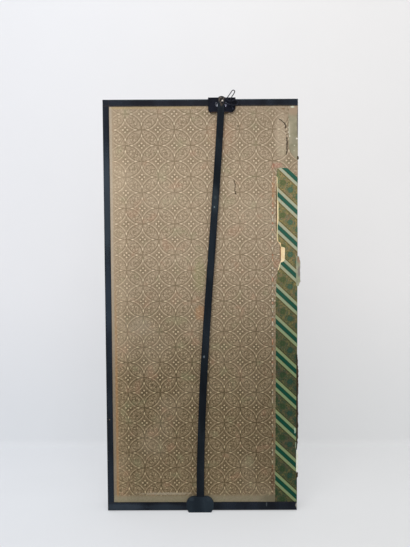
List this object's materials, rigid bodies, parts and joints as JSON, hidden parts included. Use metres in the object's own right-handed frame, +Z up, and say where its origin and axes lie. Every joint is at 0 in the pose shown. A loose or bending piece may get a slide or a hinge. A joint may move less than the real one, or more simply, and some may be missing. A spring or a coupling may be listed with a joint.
{
  "type": "byobu folding screen",
  "caption": "Folding screen of lacquer-framed, paper-hinged panels, folded flat and held shut by a lacquered two-part clamp with a tied cord.",
  "frame": {"origin": "middle of the folded stack at floor level, on the undersides of the clamp's feet", "axes": "+Z up, +Y through the stack from panel 1 (its back outwards at -Y) to panel 6, +X towards the hinge between panels 1 and 2"},
  "size_m": [0.6066, 0.1458, 1.3331],
  "materials": {
    "frame_lacquer": "black lacquer, worn satin",
    "clamp_lacquer": "black lacquer, worn matt",
    "cedar_core": "planed cedar",
    "patterned_paper": "printed paper, matt",
    "leafed_paper": "gold-leafed paper",
    "border_brocade": "woven brocade",
    "edge_brocade": "woven brocade with diagonal bands",
    "hinge_paper": "tough hinge paper, matt",
    "eyelet_metal": "tarnished, matt",
    "clamp_cord": "thin twisted cord"
  },
  "bodies": {
    "panel_1": {"panel_1_core_lattice": "cedar_core", "panel_1_front_paper": "leafed_paper", "panel_1_front_border": "border_brocade", "panel_1_back_paper": "patterned_paper", "panel_1_top_rail": "frame_lacquer", "panel_1_bottom_rail": "frame_lacquer", "panel_1_stile": "frame_lacquer", "panel_1_edge_brocade": "edge_brocade", "hinge_1_2_strips_on_1": "hinge_paper"},
    "panel_2": {"panel_2_core_lattice": "cedar_core", "panel_2_front_paper": "leafed_paper", "panel_2_front_border": "border_brocade", "panel_2_back_paper": "patterned_paper", "panel_2_top_rail": "frame_lacquer", "panel_2_bottom_rail": "frame_lacquer", "hinge_1_2_strips_on_2": "hinge_paper", "hinge_2_3_strips_on_2": "hinge_paper"},
    "panel_3": {"panel_3_core_lattice": "cedar_core", "panel_3_front_paper": "leafed_paper", "panel_3_front_border": "border_brocade", "panel_3_back_paper": "patterned_paper", "panel_3_top_rail": "frame_lacquer", "panel_3_bottom_rail": "frame_lacquer", "hinge_2_3_strips_on_3": "hinge_paper", "hinge_3_4_strips_on_3": "hinge_paper"},
    "panel_4": {"panel_4_core_lattice": "cedar_core", "panel_4_front_paper": "leafed_paper", "panel_4_front_border": "border_brocade", "panel_4_back_paper": "patterned_paper", "panel_4_top_rail": "frame_lacquer", "panel_4_bottom_rail": "frame_lacquer", "hinge_3_4_strips_on_4": "hinge_paper", "hinge_4_5_strips_on_4": "hinge_paper"},
    "panel_5": {"panel_5_core_lattice": "cedar_core", "panel_5_front_paper": "leafed_paper", "panel_5_front_border": "border_brocade", "panel_5_back_paper": "patterned_paper", "panel_5_top_rail": "frame_lacquer", "panel_5_bottom_rail": "frame_lacquer", "hinge_4_5_strips_on_5": "hinge_paper", "hinge_5_6_strips_on_5": "hinge_paper"},
    "panel_6": {"panel_6_core_lattice": "cedar_core", "panel_6_front_paper": "leafed_paper", "panel_6_front_border": "border_brocade", "panel_6_back_paper": "patterned_paper", "panel_6_top_rail": "frame_lacquer", "panel_6_bottom_rail": "frame_lacquer", "panel_6_stile": "frame_lacquer", "hinge_5_6_strips_on_6": "hinge_paper"},
    "rear_clamp": {"rear_clamp_lath": "clamp_lacquer", "rear_clamp_head": "clamp_lacquer", "rear_clamp_foot": "clamp_lacquer", "rear_clamp_eyelets": "eyelet_metal", "clamp_cord": "clamp_cord", "clamp_cord_knot": "clamp_cord"},
    "front_clamp": {"front_clamp_lath": "clamp_lacquer", "front_clamp_head": "clamp_lacquer", "front_clamp_foot": "clamp_lacquer", "front_clamp_eyelets": "eyelet_metal"}
  },
  "joints": [
    {"name": "fold_1_2", "type": "hinge", "parent": "panel_1", "child": "panel_2", "pos_m": [0.3033, -0.0372, 0], "axis": [0, 0, -1], "range_deg": [0, 180]},
    {"name": "fold_2_3", "type": "hinge", "parent": "panel_2", "child": "panel_3", "pos_m": [-0.3033, -0.0186, 0], "axis": [0, 0, 1], "range_deg": [0, 180]},
    {"name": "fold_3_4", "type": "hinge", "parent": "panel_3", "child": "panel_4", "pos_m": [0.3033, 0, 0], "axis": [0, 0, -1], "range_deg": [0, 180]},
    {"name": "fold_4_5", "type": "hinge", "parent": "panel_4", "child": "panel_5", "pos_m": [-0.3033, 0.0186, 0], "axis": [0, 0, 1], "range_deg": [0, 180]},
    {"name": "fold_5_6", "type": "hinge", "parent": "panel_5", "child": "panel_6", "pos_m": [0.3033, 0.0372, 0], "axis": [0, 0, -1], "range_deg": [0, 180]},
    {"name": "rear_clamp_lift_off", "type": "slide", "parent": "panel_1", "child": "rear_clamp", "axis": [0, -1, 0], "range_m": [0, 0.12]},
    {"name": "front_clamp_lift_off", "type": "slide", "parent": "panel_6", "child": "front_clamp", "axis": [0, 1, 0], "range_m": [0, 0.12]}
  ]
}
